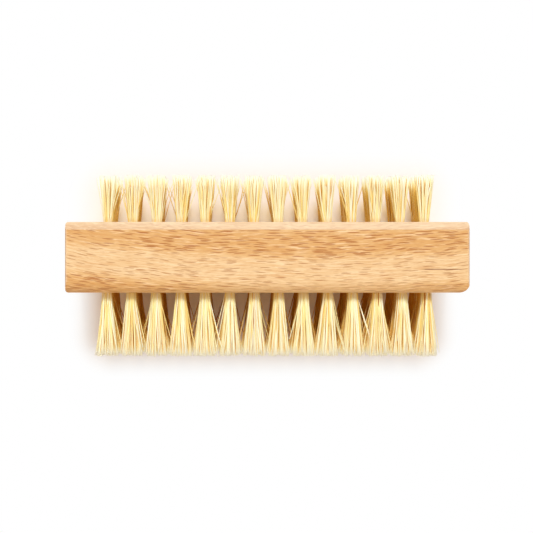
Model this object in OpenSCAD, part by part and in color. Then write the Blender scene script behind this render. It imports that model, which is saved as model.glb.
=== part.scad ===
// Two-sided nail brush: a beech block with long fibre tufts on one face and short ones on the other.
// It lies on one narrow side of the block, as photographed, with the other narrow side up.
// X runs along the block. The short tufts point to +Y and the long tufts to -Y.
// The origin is the middle of the narrow side that the brush lies on.

/* [Block] */
// Length of the wooden block
block_length = 95; // [86:1:120]
// Thickness of the block, from one tufted face to the other
block_thickness = 16.7; // [15.5:0.1:22]
// Width of the tufted faces, which is the height of the brush as it lies
block_width = 36; // [33:1:48]
// Radius of the rounding along the two edges of the long tufts' face
long_edge_radius = 2.9; // [1:0.1:3.4]
// Chamfer along the two edges of the short tufts' face
short_edge_chamfer = 1.85; // [0.5:0.05:3]
// Radius of the easing round the ends
end_edge_radius = 0.6; // [0.3:0.1:1.5]
// Radius of the one end corner that is sanded rounder, on the long tufts' side at +X
sanded_corner_radius = 2.2; // [0.8:0.1:4]

/* [Tuft holes] */
// Number of tufts in each row along the block
columns = 14; // [4:1:14]
// Distance from one column of tufts to the next
column_pitch = 5.87; // [5.4:0.01:6.3]
// Diameter of the drilled holes
hole_diameter = 2.5; // [2:0.1:2.9]
// Depth of the straight wall of a hole
hole_depth = 6.5; // [5:0.1:6.9]
// Full angle of the drill's point
drill_point_angle = 118; // [90:1:140]

/* [Long tufts] */
// Number of rows of long tufts across the block
long_rows = 5; // [1:1:5]
// Distance from one row of long tufts to the next
long_row_pitch = 5.85; // [5.4:0.05:6.4]
// How far the long tufts stand out of the block
long_tuft_length = 15.2; // [9:0.1:25]
// Gap left between the splayed ends of two long tufts
long_tip_gap = 0.6; // [0.3:0.1:1.5]

/* [Short tufts] */
// Number of rows of short tufts across the block
short_rows = 3; // [1:1:4]
// Distance from one row of short tufts to the next
short_row_pitch = 7.1; // [5.6:0.1:7.8]
// How far the short tufts stand out of the block
short_tuft_length = 11.6; // [6:0.2:20]
// Gap left between the splayed ends of two short tufts
short_tip_gap = 1.1; // [0.3:0.1:2]

/* [Tuft form] */
// Height above the block at which a tuft parts into strands
neck_height = 0.8; // [0.4:0.1:2]
// Gap between two strands of a tuft at their ends
strand_tip_gap = 0.45; // [0.3:0.05:0.9]
// Gap between two strands of a tuft where they leave the neck
strand_root_gap = 0.12; // [0.05:0.01:0.25]
// Margin of the neck round the strands that leave it
neck_margin = 0.12; // [0.05:0.01:0.3]
// Most that a strand is trimmed short of the tuft's length
uneven_trim = 0.6; // [0:0.1:1.5]
// Clearance between the root of a tuft and its hole, and round an anchor
root_clearance = 0.05; // [0.02:0.01:0.1]

/* [Anchors] */
// Thickness of the flat wire that an anchor is cut from
anchor_thickness = 0.3; // [0.2:0.05:0.5]
// Width of the flat wire, which lies along the hole
anchor_width = 1.4; // [1:0.1:2]
// Thickness of the fibres folded round the bottom of an anchor
fold_thickness = 0.7; // [0.5:0.05:1]

/* [Hidden] */
overrun = 0.5;
curve_facets = 48;
hole_radius = hole_diameter / 2;
hole_point = hole_radius / tan(drill_point_angle / 2);
root_radius = hole_radius - root_clearance;
root_bottom = root_clearance - hole_depth;
slot_bottom = root_bottom + fold_thickness;
anchor_half_length = sqrt(pow(hole_radius, 2) - pow(anchor_thickness / 2, 2)) - root_clearance;

// A strand starts inside the neck, bends once and splays to its end. Each tuft has four.
strands = 4;
strand_turn = 360 / strands;
bend_height_share = 0.45;
bend_splay_share = 0.4;

// One random turn for each tuft and one random trim for each strand, the same at every build
long_turns = rands(0, strand_turn, columns * long_rows, 11);
short_turns = rands(0, strand_turn, columns * short_rows, 23);
long_trims = rands(0, uneven_trim, columns * long_rows * strands, 37);
short_trims = rands(0, uneven_trim, columns * short_rows * strands, 41);

function two_digits(n) = str(n < 10 ? "0" : "", n);
function column_node(kind, column) = str(kind, "_", two_digits(column));

// Where a column lies along the block, and where a row lies across it
function column_x(column) = (column - (columns + 1) / 2) * column_pitch;
function row_z(row, rows, pitch) = block_width / 2 + (row - (rows + 1) / 2) * pitch;

// Stands its children on the long tufts' face at one hole, with their +Z out of the block
module at_long_hole(column, row)
    translate([column_x(column), -block_thickness / 2, row_z(row, long_rows, long_row_pitch)])
        rotate([90, 0, 0])
            children();

// The same on the short tufts' face
module at_short_hole(column, row)
    translate([column_x(column), block_thickness / 2, row_z(row, short_rows, short_row_pitch)])
        rotate([-90, 0, 0])
            children();

// Places its children at one corner of a rectangle, counted round from +X +Y, turned to point out
module at_corner(width, height, i) {
    side = [[1, 1], [-1, 1], [-1, -1], [1, -1]][i];
    translate([side.x * width / 2, side.y * height / 2])
        rotate(i * 90)
            children();
}

// What a rounding takes off a corner
module corner_rounding(radius)
    translate([-radius, -radius])
        difference() {
            square(radius + overrun);
            circle(r = radius, $fn = curve_facets);
        }

// What an even chamfer takes off a corner
module corner_chamfer(leg)
    rotate(45)
        square(leg * sqrt(2), center = true);

// The block's section, rounded on the long tufts' side and chamfered on the short tufts' side
module bar_section()
    difference() {
        square([block_thickness, block_width], center = true);
        for (i = [0, 3])
            at_corner(block_thickness, block_width, i)
                corner_chamfer(short_edge_chamfer);
        for (i = [1, 2])
            at_corner(block_thickness, block_width, i)
                corner_rounding(long_edge_radius);
    }

// A rectangle with its four corners rounded, each to its own radius
module rounded_rectangle(width, height, radii)
    difference() {
        square([width, height], center = true);
        for (i = [0 : 3])
            at_corner(width, height, i)
                corner_rounding(radii[i]);
    }

// The block before it is drilled: its section runs along X, and two outlines trim its ends
module shaped_blank() {
    end_radii = [for (i = [0 : 3]) end_edge_radius];
    sanded_radii = concat([for (i = [0 : 2]) end_edge_radius], [sanded_corner_radius]);
    translate([0, 0, block_width / 2])
        intersection() {
            rotate([90, 0, 90])
                linear_extrude(block_length + 2 * overrun, center = true)
                    bar_section();
            linear_extrude(block_width + 2 * overrun, center = true)
                rounded_rectangle(block_length, block_thickness, sanded_radii);
            rotate([90, 0, 0])
                linear_extrude(block_thickness + 2 * overrun, center = true)
                    rounded_rectangle(block_length, block_width, end_radii);
        }
}

// A blind hole with a drill point, open at Z = 0
module tuft_hole()
    rotate_extrude($fn = curve_facets)
        polygon([
            [0, -hole_depth - hole_point],
            [hole_radius, -hole_depth],
            [hole_radius, overrun],
            [0, overrun]
        ]);

module block()
    color("burlywood")
        difference() {
            shaped_blank();
            for (column = [1 : columns]) {
                for (row = [1 : long_rows])
                    at_long_hole(column, row)
                        tuft_hole();
                for (row = [1 : short_rows])
                    at_short_hole(column, row)
                        tuft_hole();
            }
        }

// The bundle of fibres in the hole, folded round the slot that holds its anchor
module tuft_root()
    difference() {
        union() {
            translate([0, 0, root_bottom + root_radius])
                sphere(r = root_radius, $fn = curve_facets);
            translate([0, 0, root_bottom + root_radius])
                cylinder(r = root_radius, h = neck_height - root_bottom - root_radius, $fn = curve_facets);
        }
        translate([0, 0, slot_bottom + anchor_width / 2 + root_clearance])
            cube([
                2 * hole_diameter,
                anchor_thickness + 2 * root_clearance,
                anchor_width + 2 * root_clearance
            ], center = true);
    }

// One ring of a strand: a quarter of a disc as four points, half a gap clear of its neighbours
function strand_ring(radius, gap, z) =
    let (half_angle = strand_turn / 2 - asin(gap / 2 / radius))
    [
        [gap / 2 / sin(strand_turn / 2), 0, z],
        [radius * cos(half_angle), radius * sin(half_angle), z],
        [radius, 0, z],
        [radius * cos(half_angle), -radius * sin(half_angle), z]
    ];

// A strand is a four-sided tube through its rings, with both ends closed
module strand(length, splay_radius) {
    start_radius = root_radius - neck_margin;
    start_z = neck_height - overrun;
    bend_radius = start_radius + bend_splay_share * (splay_radius - start_radius);
    bend_gap = strand_root_gap + bend_splay_share * (strand_tip_gap - strand_root_gap);
    bend_z = start_z + bend_height_share * (length - start_z);
    points = concat(
        strand_ring(start_radius, strand_root_gap, start_z),
        strand_ring(bend_radius, bend_gap, bend_z),
        strand_ring(splay_radius, strand_tip_gap, length)
    );
    sides = 4;
    top = 2 * sides;
    polyhedron(points, concat(
        [[0, 2, 1], [0, 3, 2]],
        [
            for (ring = [0 : 1])
                for (side = [0 : sides - 1])
                    let (a = ring * sides + side, b = ring * sides + (side + 1) % sides)
                    each [[a, b, a + sides], [b, b + sides, a + sides]]
        ],
        [[top, top + 1, top + 2], [top, top + 2, top + 3]]
    ));
}

// A tuft with its root down the hole and its strands trimmed unevenly
module tuft(length, splay_radius, turn, trims) {
    tuft_root();
    for (i = [0 : strands - 1])
        rotate(turn + i * strand_turn)
            strand(length - trims[i], splay_radius);
}

// The trims of one tuft's strands, out of the list for its side
function tuft_trims(trims, number) = [for (i = [0 : strands - 1]) trims[number * strands + i]];

module long_tufts(column)
    color("khaki")
        for (row = [1 : long_rows]) {
            number = (column - 1) * long_rows + row - 1;
            at_long_hole(column, row)
                tuft(
                    long_tuft_length,
                    (min(column_pitch, long_row_pitch) - long_tip_gap) / 2,
                    long_turns[number],
                    tuft_trims(long_trims, number)
                );
        }

module short_tufts(column)
    color("palegoldenrod")
        for (row = [1 : short_rows]) {
            number = (column - 1) * short_rows + row - 1;
            at_short_hole(column, row)
                tuft(
                    short_tuft_length,
                    (min(column_pitch, short_row_pitch) - short_tip_gap) / 2,
                    short_turns[number],
                    tuft_trims(short_trims, number)
                );
        }

// A piece of flat wire, wedged across the bottom of a hole in the fold of its tuft
module anchor()
    translate([0, 0, slot_bottom + anchor_width / 2 + root_clearance])
        cube([2 * anchor_half_length, anchor_thickness, anchor_width], center = true);

module long_anchors(column)
    color("silver")
        for (row = [1 : long_rows])
            at_long_hole(column, row)
                anchor();

module short_anchors(column)
    color("silver")
        for (row = [1 : short_rows])
            at_short_hole(column, row)
                anchor();

block();
for (column = [1 : columns]) {
    long_tufts(column);
    short_tufts(column);
    long_anchors(column);
    short_anchors(column);
}
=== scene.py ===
# Nail brush: a beech block with long fibre tufts on one face and short ones on the other.
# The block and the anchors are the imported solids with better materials. Each column of tufts
# is replaced by its single fibres. The unit is the metre, and MM turns millimetres into it.
import math
import random

import bpy
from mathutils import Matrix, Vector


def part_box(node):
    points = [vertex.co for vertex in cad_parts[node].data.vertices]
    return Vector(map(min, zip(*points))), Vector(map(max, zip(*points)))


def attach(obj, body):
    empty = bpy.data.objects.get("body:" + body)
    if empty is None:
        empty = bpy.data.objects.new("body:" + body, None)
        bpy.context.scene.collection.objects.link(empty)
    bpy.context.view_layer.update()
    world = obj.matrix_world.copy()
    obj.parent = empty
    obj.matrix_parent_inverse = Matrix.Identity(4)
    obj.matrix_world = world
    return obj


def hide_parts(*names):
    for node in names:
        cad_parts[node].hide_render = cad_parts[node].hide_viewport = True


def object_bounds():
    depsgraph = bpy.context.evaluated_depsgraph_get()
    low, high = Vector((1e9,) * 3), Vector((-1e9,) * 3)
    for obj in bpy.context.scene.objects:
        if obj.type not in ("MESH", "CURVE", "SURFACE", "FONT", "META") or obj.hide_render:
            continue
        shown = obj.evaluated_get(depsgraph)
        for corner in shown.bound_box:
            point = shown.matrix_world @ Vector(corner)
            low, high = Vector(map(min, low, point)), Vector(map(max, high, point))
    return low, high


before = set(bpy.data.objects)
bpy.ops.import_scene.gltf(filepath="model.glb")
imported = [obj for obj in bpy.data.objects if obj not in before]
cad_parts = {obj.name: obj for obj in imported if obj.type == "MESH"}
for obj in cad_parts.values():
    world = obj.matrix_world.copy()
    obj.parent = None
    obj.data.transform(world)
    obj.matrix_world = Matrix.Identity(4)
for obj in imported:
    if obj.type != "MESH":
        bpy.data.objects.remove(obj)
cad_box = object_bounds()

MM = 0.001


def colour(red, green, blue):
    """A colour from its sRGB values, 0 to 255, as Blender's linear RGBA, by the sRGB curve."""
    def linear(value):
        share = value / 255
        return share / 12.92 if share <= 0.04045 else ((share + 0.055) / 1.055) ** 2.4
    return (linear(red), linear(green), linear(blue), 1)


# Camera: straight above, a little left of the brush's middle
CAMERA_PLACE = (-9 * MM, 0, 376 * MM)
SENSOR_WIDTH = 36
IMAGE_SIDE = 533  # pixels of the photograph, as are the next three
FOCAL_PIXELS = 1450
SHIFT_X_PIXELS = 37.5
SHIFT_Y_PIXELS = -9.15

# Tufts of each side
ROWS = {"long": 5, "short": 3}  # across the block
FIBRES = {"long": 94, "short": 76}  # in one tuft
SPLAY_SHARE = {"long": 1.06, "short": 0.95}  # radius of the fan, in half widths of the solid
SHORT_SEEDS = 100  # the random seeds of the short columns start after this

# Fibres in their hole
MOUTH_RADIUS = 1.05 * MM  # how far out they stand at the mouth
WIRE_THICKNESS = 0.3 * MM  # of the anchor that they fold round
FOLD_DEPTH = 5.9 * MM  # from the face of the block
FOLD_SHARE = 0.85  # times their place at the mouth
FOLD_CLEARANCE = 0.4 * MM  # from the middle of the wire to the middle of a fibre, at least

# One fibre
FIBRE_RADIUS = 0.19 * MM
RADIUS_RANGE = (0.7, 1.25)  # times that radius, from fibre to fibre
FIBRE_SIDES = 5
TIP_TAPER = 0.85  # width at the tip, as a share of that at the mouth
STATIONS = (0, 0.25, 0.5, 0.75, 1)  # of its rings, from the mouth to the tip
FAN_SHARE = 0.85  # of its way outwards that is even, while the rest grows towards the tip
TRIM = 1.1 * MM  # the most that is cut off its tip
BOW = 0.13 * MM  # spread of its bow to one side
LEAN_SPREAD = 0.1  # of how far it leans outwards, as a share
SWING_SPREAD = 0.3  # of its swing round the tuft, in radians
GOLDEN_ANGLE = math.pi * (3 - math.sqrt(5))  # round the tuft, from one fibre to the next

# Clumps: points that the tips of a tuft are drawn to
CLUMPS = 11
CLUMP_SHARE = 0.24  # of the way to the nearest point
CLUMP_SWING = 0.25  # spread of a point's swing round the tuft, in radians

# Stray fibres
STRAY_SHARE = 0.05  # of all fibres
STRAY_LEAN = (1.15, 2.1)  # times the radius of the fan
STRAY_BOW = 3  # times the bow of the others
STRAY_WIDTH = 0.65  # times the width of the others

# Core of a tuft, where some fibres are cut shorter
CORE_SHARE = 0.3  # of the fibres
CUT_SHARE = 0.5  # of those in the core
CUT_RANGE = (0.75, 0.97)  # times their length

# Values that the materials share. A tint comes in as a value goes from its start to full, and
# has its whole amount there. A list of tones gives the value at which each colour stands
NOISE_RANGE = (0.2, 0.8)  # holds most of a noise, and each roughness is given at its two ends
NOISE_MIDDLE = 0.5
DASH_EDGE = 0.3  # depth of the soft edge of a dash, as a share of its reach

# Plant fibre. The tones go by a random number of each fibre, so about one in a hundred is brown
FIBRE_TONES = [
    (0.0, colour(110, 62, 26)),
    (0.01, colour(196, 120, 50)),
    (0.025, colour(248, 223, 140)),
    (0.3, colour(250, 245, 184)),
    (0.6, colour(250, 252, 215)),
    (1.0, colour(250, 254, 236)),
]
STREAK_SIZE = (0.12 * MM, 2.5 * MM, 0.12 * MM)  # longest in Y, as the fibres are
STREAK_DETAIL = 3.0
STREAK_TINT = dict(start=0.35, full=0.8, amount=0.25, shade=colour(243, 210, 108))
# Along a fibre: browner at the root and paler towards the tip, partly its own tone and partly
# painted shade and painted light
ROOT_TONE_AND_SHADE_TINT = dict(start=0.15, full=0.0, amount=0.3, shade=colour(212, 140, 56))
UPPER_TONE_AND_LIGHT_TINT = dict(start=0.5, full=1.0, amount=0.7, shade=colour(251, 254, 232))
TIP_TONE_AND_LIGHT_TINT = dict(start=0.85, full=1.0, amount=0.8, shade=colour(252, 255, 246))
FIBRE_ROUGHNESS = (0.42, 0.55)
FIBRE_SPECULAR = 0.25
FIBRE_RELIEF = 0.02 * MM

# Light and painted shade in the tufts. Both tints are painted shade, and they go by how open a
# place is, from 0 to 1
NOOK_DEPTH = 20 * MM  # how far off another fibre still shades
NOOK_SAMPLES = 16
PAINTED_SHADE_TINT = dict(start=0.5, full=0.1, amount=0.62, shade=colour(255, 219, 90))
PAINTED_DEEP_SHADE_TINT = dict(start=0.17, full=0.05, amount=0.85, shade=colour(220, 148, 16))
LET_THROUGH = 0.92  # share of the light that a fibre lets through to those behind it
THROUGH_TINT = (1, 0.95, 0.76, 1)

# Run of the beech's grain. Sizes in the wood are along the grain, across the rays and along them
GRAIN_LOW = 10 * MM  # the place along X where the grain dips lowest
GRAIN_RISE = 1.2  # it rises by this times the square of the way from there, in metres
WANDER = 1.5 * MM  # the most that it wanders, from one side to the other
WANDER_SIZE = (22 * MM, 24 * MM, 24 * MM)
RAY_SLANT = math.radians(-36)  # how far the rays lean from upright

# Growth bands, square to the rays
RING_WIDTH = 8 * MM
RING_PHASE = 0.1  # how far they are moved, as a share of that width
RING_CUT = (-1.0, 0.6)  # the part of their wave that goes from dark to pale
RING_WEIGHT = 0.54  # in the tone of the wood
PATCH_SIZE = (20 * MM, 1.4 * MM, 6 * MM)  # of the streaks that break them up
PATCH_DETAIL = 3.0
PATCH_ROUGHNESS = 0.55
PATCH_WEIGHT = 0.3  # in the tone of the wood
WOOD_TONES = [
    (0.2, colour(218, 171, 110)),
    (0.5, colour(226, 186, 131)),
    (0.78, colour(233, 202, 158)),
]

# Fine lengthwise grain, with darker and paler lines
FINE_SIZE = (5 * MM, 0.2 * MM, 0.45 * MM)
FINE_DETAIL = 2.0
FINE_ROUGHNESS = 0.6
DARK_LINE_TINT = dict(start=0.5, full=0.68, amount=0.4, shade=colour(204, 139, 74))
PALE_LINE_TINT = dict(start=0.48, full=0.32, amount=0.6, shade=colour(250, 224, 184))

# Ray flecks: thin ribbons that show as dark dashes. Their reach in a cell and their strength go
# by the tone of the wood, so that they are longer and stronger in the darker bands
FLECK_SIZE = (4.6 * MM, 0.27 * MM, 12 * MM)
FLECK_REACH = dict(low=0.3, high=0.75, to_low=0.4, to_high=0.31)
FLECK_STRENGTH = dict(low=0.3, high=0.65, to_low=0.8, to_high=0.6)
FLECK_FLAT = (0.85, 0.97)  # how flat in the surface a ribbon lies where it fades and is gone
FLECK_COLOUR = colour(168, 97, 42)
FLECK_RELIEF = 0.6  # depth, as a share of the fine grain's
SMALL_FLECK_SIZE = (2.4 * MM, 0.2 * MM, 0.5 * MM)
SMALL_FLECK_STRENGTH = 0.3
SMALL_FLECK_COLOUR = colour(180, 114, 58)

# A short dark hairline in the grain, on the upper side near its +X end
HAIRLINE_FROM_END = 6.5 * MM  # from the block's end to the middle of the line
HAIRLINE_Y = -2.8 * MM
HAIRLINE_ALONG = (3 * MM, 5.6 * MM)  # how far from its middle it fades and is gone
HAIRLINE_ACROSS = (0.06 * MM, 0.2 * MM)  # the same, across the grain
HAIRLINE_DEPTH = (2 * MM, 0.5 * MM)  # below the top of the block, where it comes in and is whole
HAIRLINE_STRENGTH = 0.75
HAIRLINE_COLOUR = colour(128, 74, 40)

# Wood by the way that its surface faces: a painted highlight on the long edges that face +Y, the
# key light's side; paler where the surface turns towards the ends, and darker end grain
CHAMFER_HIGHLIGHT_TINT = dict(start=0.35, full=0.5, amount=0.35, shade=colour(233, 217, 200))
EASED_END_TINT = dict(start=0.05, full=0.3, amount=0.35, shade=colour(252, 222, 184))
END_GRAIN_TINT = dict(start=0.6, full=0.95, amount=0.6, shade=colour(176, 120, 70))
WOOD_ROUGHNESS = (0.5, 0.66)
WOOD_SPECULAR = 0.35
WOOD_RELIEF = 0.05 * MM

# Flat wire
WIRE_LINES = (3 * MM, 0.05 * MM, 0.05 * MM)  # size of the lines from its drawing, along X
WIRE_TONES = [
    (0.3, colour(165, 165, 168)),
    (0.7, colour(212, 212, 214)),
]
WIRE_ROUGHNESS = (0.28, 0.45)
WIRE_RELIEF = 0.005 * MM

# Floor
FLOOR_REACH = 4  # metres each way
FLOOR_TONES = [
    (0.3, colour(250, 245, 241)),
    (0.7, colour(252, 247, 244)),
]
MOTTLE_SIZE = (60 * MM, 60 * MM, 60 * MM)
FLOOR_ROUGHNESS = 0.9
FLOOR_SPECULAR = 0.1
BARE_END = 8.5 * MM  # it starts to turn plain white this far in from the block's ends
TIP_ZONE = 4 * MM  # and this far in from the tips
FLOOR_FADE = 12 * MM  # and is plain white this far on

# Tent: its light at the floor and overhead, and how the camera and reflections see it
TENT_AT_FLOOR = (0.16, 0.1, 0.05, 1)
TENT_OVERHEAD = (0.72, 0.55, 0.4, 1)
WHITE = (1, 1, 1, 1)

# Lamps: a softbox high beyond the short tufts and a low fill on the long ones, in metres and watts
KEY = dict(place=(0, 0.68, 1.18), width=0.3, height=0.35, power=13.2, tint=(0.88, 0.96, 1))
FILL = dict(place=(0, -1.05, 0.4), width=0.6, height=0.4, power=2.8, tint=(1, 0.85, 0.65))

# Sockets of a Mix node that mixes colours
MIX_FACTOR = 0
MIX_A = 6
MIX_B = 7
MIX_RESULT = 2


def add_object(name, data):
    """A new object in the scene, with the mesh, lamp or camera that it is given."""
    thing = bpy.data.objects.new(name, data)
    bpy.context.scene.collection.objects.link(thing)
    return thing


class Shader:
    """The nodes of one material or world, with a short call for each kind that this script uses."""

    def __init__(self, owner, surface="Principled BSDF"):
        owner.use_nodes = True
        self.tree = owner.node_tree
        self.surface = self.tree.nodes[surface]

    def put(self, value, socket):
        if isinstance(value, bpy.types.NodeSocket):
            self.tree.links.new(value, socket)
        else:
            socket.default_value = value

    def node(self, kind, **settings):
        node = self.tree.nodes.new(kind)
        for name, value in settings.items():
            setattr(node, name, value)
        return node

    def set(self, name, value):
        self.put(value, self.surface.inputs[name])

    def place(self):
        return self.node("ShaderNodeTexCoord").outputs["Object"]

    def attribute(self, name):
        return self.node("ShaderNodeAttribute", attribute_name=name).outputs["Fac"]

    def ray(self, kind):
        """1 for light rays of the kind that is named, such as Is Camera Ray, and 0 for others."""
        return self.node("ShaderNodeLightPath").outputs[kind]

    def split(self, vector):
        node = self.node("ShaderNodeSeparateXYZ")
        self.put(vector, node.inputs[0])
        return node.outputs

    def join(self, x, y, z):
        node = self.node("ShaderNodeCombineXYZ")
        for value, socket in zip((x, y, z), node.inputs):
            self.put(value, socket)
        return node.outputs[0]

    def math(self, operation, a, b=0.0):
        node = self.node("ShaderNodeMath", operation=operation)
        self.put(a, node.inputs[0])
        self.put(b, node.inputs[1])
        return node.outputs[0]

    def away(self, value, middle):
        """How far the value is from the middle, either way."""
        return self.math("ABSOLUTE", self.math("SUBTRACT", value, middle))

    def roll(self, vector, angle):
        """The vector turned about X."""
        node = self.node("ShaderNodeVectorRotate", rotation_type="X_AXIS")
        self.put(vector, node.inputs["Vector"])
        node.inputs["Angle"].default_value = angle
        return node.outputs[0]

    def stretch(self, vector, size):
        """The vector counted in cells of the given size in metres."""
        node = self.node("ShaderNodeMapping")
        self.put(vector, node.inputs["Vector"])
        node.inputs["Scale"].default_value = [1 / side for side in size]
        return node.outputs[0]

    def noise(self, vector, size, detail=2.0, roughness=0.5):
        node = self.node("ShaderNodeTexNoise")
        self.put(self.stretch(vector, size), node.inputs["Vector"])
        node.inputs["Scale"].default_value = 1
        node.inputs["Detail"].default_value = detail
        node.inputs["Roughness"].default_value = roughness
        return node.outputs["Fac"]

    def dashes(self, vector, size, reach):
        """1 inside short dashes, one to a cell of the given size, and 0 between them."""
        node = self.node("ShaderNodeTexVoronoi")
        self.put(self.stretch(vector, size), node.inputs["Vector"])
        node.inputs["Scale"].default_value = 1
        depth = self.math("SUBTRACT", 1.0, self.math("DIVIDE", node.outputs["Distance"], reach))
        return self.fade(depth, 0.0, DASH_EDGE)

    def fade(self, value, low, high, to_low=0.0, to_high=1.0):
        """Goes smoothly from to_low to to_high as the value goes from low to high."""
        node = self.node("ShaderNodeMapRange", interpolation_type="SMOOTHSTEP")
        for number, socket in zip((value, low, high, to_low, to_high), node.inputs):
            self.put(number, socket)
        return node.outputs[0]

    def fade_out(self, value, start, gone):
        """1 up to the start, and 0 from where it is gone."""
        return self.fade(value, start, gone, 1.0, 0.0)

    def mix(self, factor, a, b):
        node = self.node("ShaderNodeMix", data_type="RGBA")
        self.put(factor, node.inputs[MIX_FACTOR])
        self.put(a, node.inputs[MIX_A])
        self.put(b, node.inputs[MIX_B])
        return node.outputs[MIX_RESULT]

    def tint(self, base, value, start, full, amount, shade):
        """The base with a tint that comes in as the value goes from its start to full."""
        return self.mix(self.fade(value, start, full, 0.0, amount), base, shade)

    def stain(self, base, mask, strength, shade):
        """The base with a shade over it where the mask is 1, at the given strength."""
        return self.mix(self.math("MULTIPLY", mask, strength), base, shade)

    def ramp(self, factor, stops):
        """The colour at a value from 0 to 1, between stops of a value and a colour each."""
        node = self.node("ShaderNodeValToRGB")
        self.put(factor, node.inputs[0])
        elements = node.color_ramp.elements
        while len(elements) < len(stops):
            elements.new(1)
        for element, (position, value) in zip(elements, stops):
            element.position = position
            element.color = value
        return node.outputs["Color"]

    def bump(self, height, distance):
        node = self.node("ShaderNodeBump")
        self.put(height, node.inputs["Height"])
        node.inputs["Distance"].default_value = distance
        self.put(node.outputs[0], self.surface.inputs["Normal"])

    def overlay(self, factor, other):
        """Shows another shader in place of the surface, by a factor from 0 to 1."""
        blend = self.node("ShaderNodeMixShader")
        self.put(factor, blend.inputs[0])
        self.put(self.surface.outputs[0], blend.inputs[1])
        self.put(other.outputs[0], blend.inputs[2])
        self.put(blend.outputs[0], self.tree.nodes["Material Output"].inputs["Surface"])

    def let_through(self, share, tint):
        """Lets a share of the light that falls on the surface go on behind it, in a tint."""
        through = self.node("ShaderNodeBsdfTransparent")
        through.inputs["Color"].default_value = tint
        self.overlay(self.math("MULTIPLY", self.ray("Is Shadow Ray"), share), through)


def grain_place(shader):
    """Places in the wood as the grain runs: X along it, Y across the rays and Z along them."""
    x, y, z = shader.split(shader.place())
    rise = shader.math("POWER", shader.math("SUBTRACT", x, GRAIN_LOW), 2)
    rise = shader.math("MULTIPLY", rise, GRAIN_RISE)
    wander = shader.noise(shader.place(), WANDER_SIZE)
    wander = shader.math("MULTIPLY", shader.math("SUBTRACT", wander, NOISE_MIDDLE), WANDER)
    grain_y = shader.math("ADD", shader.math("SUBTRACT", y, rise), wander)
    grain_z = shader.math("ADD", z, wander)
    return shader.roll(shader.join(x, grain_y, grain_z), RAY_SLANT)


def growth_bands(shader, grain):
    """The tone of the wood: growth bands square to the rays, broken up by streaks."""
    ring = shader.math("DIVIDE", shader.split(grain)[2], RING_WIDTH)
    ring = shader.math("MULTIPLY", shader.math("ADD", ring, RING_PHASE), math.tau)
    ring = shader.fade(shader.math("COSINE", ring), *RING_CUT)
    patch = shader.noise(grain, PATCH_SIZE, PATCH_DETAIL, PATCH_ROUGHNESS)
    ring = shader.math("MULTIPLY", ring, RING_WEIGHT)
    return shader.math("ADD", ring, shader.math("MULTIPLY", patch, PATCH_WEIGHT))


def hairline(shader):
    """1 on the short dark hairline, and 0 elsewhere."""
    x, y, z = shader.split(shader.place())
    end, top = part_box("block")[1].xz
    along = shader.fade_out(shader.away(x, end - HAIRLINE_FROM_END), *HAIRLINE_ALONG)
    across = shader.fade_out(shader.away(y, HAIRLINE_Y), *HAIRLINE_ACROSS)
    start, whole = HAIRLINE_DEPTH
    height = shader.fade(z, top - start, top - whole)
    return shader.math("MULTIPLY", shader.math("MULTIPLY", along, across), height)


def ray_flecks(shader, grain, reach, normal):
    """1 on the ray flecks, but not where their ribbons lie nearly flat in the surface."""
    flat = shader.math("ABSOLUTE", shader.split(shader.roll(normal, RAY_SLANT))[1])
    edge_on = shader.fade_out(flat, *FLECK_FLAT)
    return shader.math("MULTIPLY", shader.dashes(grain, FLECK_SIZE, reach), edge_on)


def edge_highlight_and_ends(shader, wood, normal):
    """The wood with a painted highlight on the +Y edges, paler towards the ends, and darker end
    grain.
    """
    x, y, z = shader.split(normal)
    # Painted highlight: paler on the long edges that face +Y, towards the key light
    key_side_edge = shader.math("MULTIPLY", y, shader.math("ABSOLUTE", z))
    wood = shader.tint(wood, key_side_edge, **CHAMFER_HIGHLIGHT_TINT)
    end_on = shader.math("ABSOLUTE", x)
    wood = shader.tint(wood, end_on, **EASED_END_TINT)
    return shader.tint(wood, end_on, **END_GRAIN_TINT)


def beech():
    """Beech with its grain along X: soft growth bands, fine grain and short dark ray flecks.
    The rays lie aslant, so that the narrow and the wide sides both show them as dashes."""
    material = bpy.data.materials.new("beech_wood")
    shader = Shader(material)
    grain = grain_place(shader)
    tone = growth_bands(shader, grain)
    wood = shader.ramp(tone, WOOD_TONES)
    fine = shader.noise(grain, FINE_SIZE, FINE_DETAIL, FINE_ROUGHNESS)
    wood = shader.tint(wood, fine, **DARK_LINE_TINT)
    wood = shader.tint(wood, fine, **PALE_LINE_TINT)
    normal = shader.node("ShaderNodeNewGeometry").outputs["Normal"]
    reach = shader.fade(tone, **FLECK_REACH)
    fleck = ray_flecks(shader, grain, reach, normal)
    small = shader.dashes(grain, SMALL_FLECK_SIZE, reach)
    wood = shader.stain(wood, fleck, shader.fade(tone, **FLECK_STRENGTH), FLECK_COLOUR)
    wood = shader.stain(wood, small, SMALL_FLECK_STRENGTH, SMALL_FLECK_COLOUR)
    wood = shader.stain(wood, hairline(shader), HAIRLINE_STRENGTH, HAIRLINE_COLOUR)
    shader.set("Base Color", edge_highlight_and_ends(shader, wood, normal))
    shader.set("Roughness", shader.fade(fine, *NOISE_RANGE, *WOOD_ROUGHNESS))
    shader.set("Specular IOR Level", WOOD_SPECULAR)
    groove = shader.math("MULTIPLY", fleck, FLECK_RELIEF)
    shader.bump(shader.math("SUBTRACT", fine, groove), WOOD_RELIEF)
    return material


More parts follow.
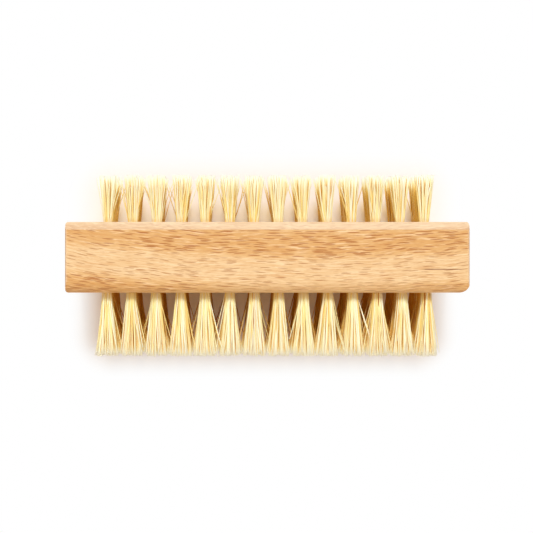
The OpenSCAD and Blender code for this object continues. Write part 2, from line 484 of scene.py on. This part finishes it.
def fibre():
    """Plant fibre: each one has its own tone, with streaks along it, and it lets golden light
    through.
    It is browner at the root and paler at the tip, partly its own tone and partly painted shade
    and light. Painted shade makes it golden where it is closed in, golden brown where deepest."""
    material = bpy.data.materials.new("plant_fibre")
    shader = Shader(material)
    base = shader.ramp(shader.attribute("tone"), FIBRE_TONES)
    streak = shader.noise(shader.place(), STREAK_SIZE, STREAK_DETAIL)
    base = shader.tint(base, streak, **STREAK_TINT)
    along = shader.attribute("along")
    # Browner at the root and paler towards the tip: partly own tone, partly painted shade and light
    base = shader.tint(base, along, **ROOT_TONE_AND_SHADE_TINT)
    base = shader.tint(base, along, **UPPER_TONE_AND_LIGHT_TINT)
    base = shader.tint(base, along, **TIP_TONE_AND_LIGHT_TINT)
    # Painted shade: golden where other fibres close a place in, and golden brown where it is
    # deepest
    nook = shader.node("ShaderNodeAmbientOcclusion", samples=NOOK_SAMPLES)
    nook.inputs["Distance"].default_value = NOOK_DEPTH
    base = shader.tint(base, nook.outputs["AO"], **PAINTED_SHADE_TINT)
    base = shader.tint(base, nook.outputs["AO"], **PAINTED_DEEP_SHADE_TINT)
    shader.set("Base Color", base)
    shader.set("Roughness", shader.fade(streak, *NOISE_RANGE, *FIBRE_ROUGHNESS))
    shader.set("Specular IOR Level", FIBRE_SPECULAR)
    shader.let_through(LET_THROUGH, THROUGH_TINT)
    shader.bump(streak, FIBRE_RELIEF)
    return material


def anchor_wire():
    """Drawn flat wire: bright metal with fine lines along it."""
    material = bpy.data.materials.new("flat_wire")
    shader = Shader(material)
    lines = shader.noise(shader.place(), WIRE_LINES)
    shader.set("Base Color", shader.ramp(lines, WIRE_TONES))
    shader.set("Metallic", 1.0)
    shader.set("Roughness", shader.fade(lines, *NOISE_RANGE, *WIRE_ROUGHNESS))
    shader.bump(lines, WIRE_RELIEF)
    return material


class Fibres:
    """The mesh of one column of tufts, built tube by tube."""

    def __init__(self):
        self.points = []
        self.faces = []
        self.tones = []
        self.along = []

    def tube(self, centres, radii, along, tone, turn):
        """A tube round its centres, each ring square to Y, with both ends closed."""
        start = len(self.points)
        for centre, radius, share in zip(centres, radii, along):
            for side in range(FIBRE_SIDES):
                angle = turn + math.tau * side / FIBRE_SIDES
                self.points.append((
                    centre[0] + radius * math.cos(angle),
                    centre[1],
                    centre[2] + radius * math.sin(angle),
                ))
                self.tones.append(tone)
                self.along.append(share)
        outward = centres[-1][1] > centres[0][1]
        for ring in range(len(centres) - 1):
            for side in range(FIBRE_SIDES):
                a = start + ring * FIBRE_SIDES + side
                b = start + ring * FIBRE_SIDES + (side + 1) % FIBRE_SIDES
                quad = (a, a + FIBRE_SIDES, b + FIBRE_SIDES, b)
                self.faces.append(quad if outward else quad[::-1])
        first = tuple(range(start, start + FIBRE_SIDES))
        last = tuple(range(len(self.points) - FIBRE_SIDES, len(self.points)))
        self.faces.append(first if outward else first[::-1])
        self.faces.append(last[::-1] if outward else last)

    def object(self, name, material):
        mesh = bpy.data.meshes.new(name)
        mesh.from_pydata(self.points, [], self.faces)
        for label, values in (("tone", self.tones), ("along", self.along)):
            mesh.attributes.new(label, "FLOAT", "POINT").data.foreach_set("value", values)
        mesh.shade_smooth()
        mesh.materials.append(material)
        return add_object(name, mesh)


class Tuft:
    """One tuft: the mouth of its hole, its direction along Y, its length, the radius of its
    fan, and the points that its tips are drawn to. All its random draws come from dice."""

    def __init__(self, mouth, direction, length, splay, dice):
        self.mouth = mouth
        self.direction = direction
        self.length = length
        self.splay = splay
        self.dice = dice
        self.turn = dice.uniform(0, math.tau)
        self.clumps = []
        for index in range(CLUMPS):
            lean = splay * math.sqrt((index + 0.5) / CLUMPS)
            angle = self.turn + index * GOLDEN_ANGLE + dice.gauss(0, CLUMP_SWING)
            self.clumps.append((lean * math.cos(angle), lean * math.sin(angle)))

    def drawn(self, tip):
        """The place of a tip, drawn to the nearest clump unless it is far outside the fan."""
        clump = min(self.clumps, key=lambda place: math.dist(place, tip))
        if math.dist(clump, tip) >= self.splay:
            return tip
        return [own + (shared - own) * CLUMP_SHARE for own, shared in zip(tip, clump)]

    def middle_line(self, spread, angle, tip, length, bow):
        """A fibre's centres: up from the fold round its anchor, out of the mouth and fanned out."""
        x, y, z = self.mouth
        start_x = spread * MOUTH_RADIUS * math.cos(angle)
        start_z = spread * MOUTH_RADIUS * math.sin(angle)
        fold_z = math.copysign(max(abs(start_z) * FOLD_SHARE, FOLD_CLEARANCE), start_z)
        centres = [(x + start_x * FOLD_SHARE, y - self.direction * FOLD_DEPTH, z + fold_z)]
        for station in STATIONS:
            fan = FAN_SHARE * station + (1 - FAN_SHARE) * station ** 2
            arc = bow * math.sin(math.pi * station)
            centres.append((
                x + start_x + (tip[0] - start_x) * fan + arc * math.sin(angle),
                y + self.direction * length * station,
                z + start_z + (tip[1] - start_z) * fan - arc * math.cos(angle),
            ))
        return centres

    def add_fibre(self, fibres, share, angle):
        """One fibre. Its share is 0 in the middle of the tuft and 1 at the rim."""
        dice = self.dice
        spread = math.sqrt(share)
        radius = FIBRE_RADIUS * dice.uniform(*RADIUS_RANGE)
        lean = spread * self.splay * dice.gauss(1, LEAN_SPREAD)
        swing = dice.gauss(0, SWING_SPREAD)
        bow = dice.gauss(0, BOW)
        if dice.random() < STRAY_SHARE:
            lean = self.splay * dice.uniform(*STRAY_LEAN)
            bow = bow * STRAY_BOW
            radius = radius * STRAY_WIDTH
        length = self.length - TRIM * dice.random() ** 2
        tip = self.drawn((lean * math.cos(angle + swing), lean * math.sin(angle + swing)))
        if share < CORE_SHARE and dice.random() < CUT_SHARE:
            cut = dice.uniform(*CUT_RANGE)
            length = length * cut
            tip = [own * cut for own in tip]
        centres = self.middle_line(spread, angle, tip, length, bow)
        radii = [radius] + [radius * (1 - (1 - TIP_TAPER) * station) for station in STATIONS]
        fibres.tube(centres, radii, (0,) + STATIONS, dice.random(), dice.uniform(0, math.tau))

    def add_fibres(self, fibres, count):
        for index in range(count):
            angle = self.turn + index * GOLDEN_ANGLE
            self.add_fibre(fibres, (index + 0.5) / count, angle)


def tuft_column(side, number, material):
    """All tufts of one column on one face, as one piece that replaces their node."""
    node = f"{side}_tufts_{number:02d}"
    block_low, block_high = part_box("block")
    tuft_low, tuft_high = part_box(node)
    wire_low, wire_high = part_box(f"{side}_anchors_{number:02d}")
    if side == "long":
        direction = -1
        face = block_low.y
        length = face - tuft_low.y
        dice = random.Random(number)
    else:
        direction = 1
        face = block_high.y
        length = tuft_high.y - face
        dice = random.Random(SHORT_SEEDS + number)
    splay = (tuft_high.x - tuft_low.x) / 2 * SPLAY_SHARE[side]
    first = wire_low.z + WIRE_THICKNESS / 2
    pitch = (wire_high.z - wire_low.z - WIRE_THICKNESS) / (ROWS[side] - 1)

    fibres = Fibres()
    for row in range(ROWS[side]):
        mouth = ((wire_low.x + wire_high.x) / 2, face, first + row * pitch)
        Tuft(mouth, direction, length, splay, dice).add_fibres(fibres, FIBRES[side])
    piece = fibres.object(f"{side}_fibres_{number:02d}", material)
    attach(piece, "root")
    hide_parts(node)


def dress():
    """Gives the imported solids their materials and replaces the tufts."""
    wood = beech()
    wire = anchor_wire()
    bristle = fibre()
    for name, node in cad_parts.items():
        if name == "block":
            node.material_slots[0].material = wood
        elif "anchors" in name:
            node.material_slots[0].material = wire
    columns = sum(name.startswith("long_tufts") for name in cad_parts)
    for number in range(1, columns + 1):
        tuft_column("long", number, bristle)
        tuft_column("short", number, bristle)


def beyond_tufts(shader):
    """How far a place on the floor lies outside the outline of all the tufts."""
    x, y = shader.split(shader.place())[:2]
    low, high = cad_box
    squares = []
    for axis, start, end in (
        (x, low.x + BARE_END, high.x - BARE_END),
        (y, low.y + TIP_ZONE, high.y - TIP_ZONE),
    ):
        gap = shader.math("SUBTRACT", shader.away(axis, (start + end) / 2), (end - start) / 2)
        gap = shader.math("MAXIMUM", gap, 0.0)
        squares.append(shader.math("POWER", gap, 2))
    return shader.math("SQRT", shader.math("ADD", *squares))


def white_floor():
    """A pale floor that keeps the shadow near the brush and turns plain white further out, to
    the camera and in reflections."""
    material = bpy.data.materials.new("white_floor")
    shader = Shader(material)
    mottle = shader.noise(shader.place(), MOTTLE_SIZE)
    shader.set("Base Color", shader.ramp(mottle, FLOOR_TONES))
    shader.set("Roughness", FLOOR_ROUGHNESS)
    shader.set("Specular IOR Level", FLOOR_SPECULAR)
    seen = shader.math("ADD", shader.ray("Is Camera Ray"), shader.ray("Is Glossy Ray"))
    seen = shader.math("ADD", seen, shader.ray("Is Transmission Ray"))
    blank = shader.math("MULTIPLY", seen, shader.fade(beyond_tufts(shader), 0.0, FLOOR_FADE))
    shader.overlay(blank, shader.node("ShaderNodeEmission"))
    return material


def floor():
    """The floor that the brush lies on."""
    side = FLOOR_REACH
    corners = [(-side, -side, 0), (side, -side, 0), (side, side, 0), (-side, side, 0)]
    mesh = bpy.data.meshes.new("floor")
    mesh.from_pydata(corners, [], [(0, 1, 2, 3)])
    mesh.materials.append(white_floor())
    plane = add_object("floor", mesh)


def area_light(name, place, width, height, power, tint):
    """A rectangular soft light, level along X, that faces the brush."""
    lamp = bpy.data.lights.new(name, "AREA")
    lamp.shape = "RECTANGLE"
    lamp.size = width
    lamp.size_y = height
    lamp.energy = power
    lamp.color = tint
    light = add_object(name, lamp)
    light.location = place
    direction = light.location.normalized()
    light.rotation_euler = direction.to_track_quat("Z", "Y").to_euler()


def studio():
    """A warm tent, brightest overhead, that the camera and reflections see as plain white,
    and the two lamps."""
    world = bpy.data.worlds.new("studio")
    shader = Shader(world, "Background")
    height = shader.split(shader.node("ShaderNodeTexCoord").outputs["Generated"])[2]
    tent = shader.mix(shader.fade(height, 0.0, 1.0), TENT_AT_FLOOR, TENT_OVERHEAD)
    shader.set("Color", shader.mix(shader.ray("Is Diffuse Ray"), WHITE, tent))
    bpy.context.scene.world = world
    area_light("key", **KEY)
    area_light("fill", **FILL)


def camera():
    """The photograph's view from straight above."""
    lens = bpy.data.cameras.new("camera")
    lens.sensor_width = SENSOR_WIDTH
    lens.lens = FOCAL_PIXELS / IMAGE_SIDE * SENSOR_WIDTH
    lens.shift_x = SHIFT_X_PIXELS / IMAGE_SIDE
    lens.shift_y = SHIFT_Y_PIXELS / IMAGE_SIDE
    view = add_object("camera", lens)
    view.location = CAMERA_PLACE
    bpy.context.scene.camera = view


camera()
dress()
floor()
studio()
bpy.context.scene.view_settings.view_transform = "Standard"
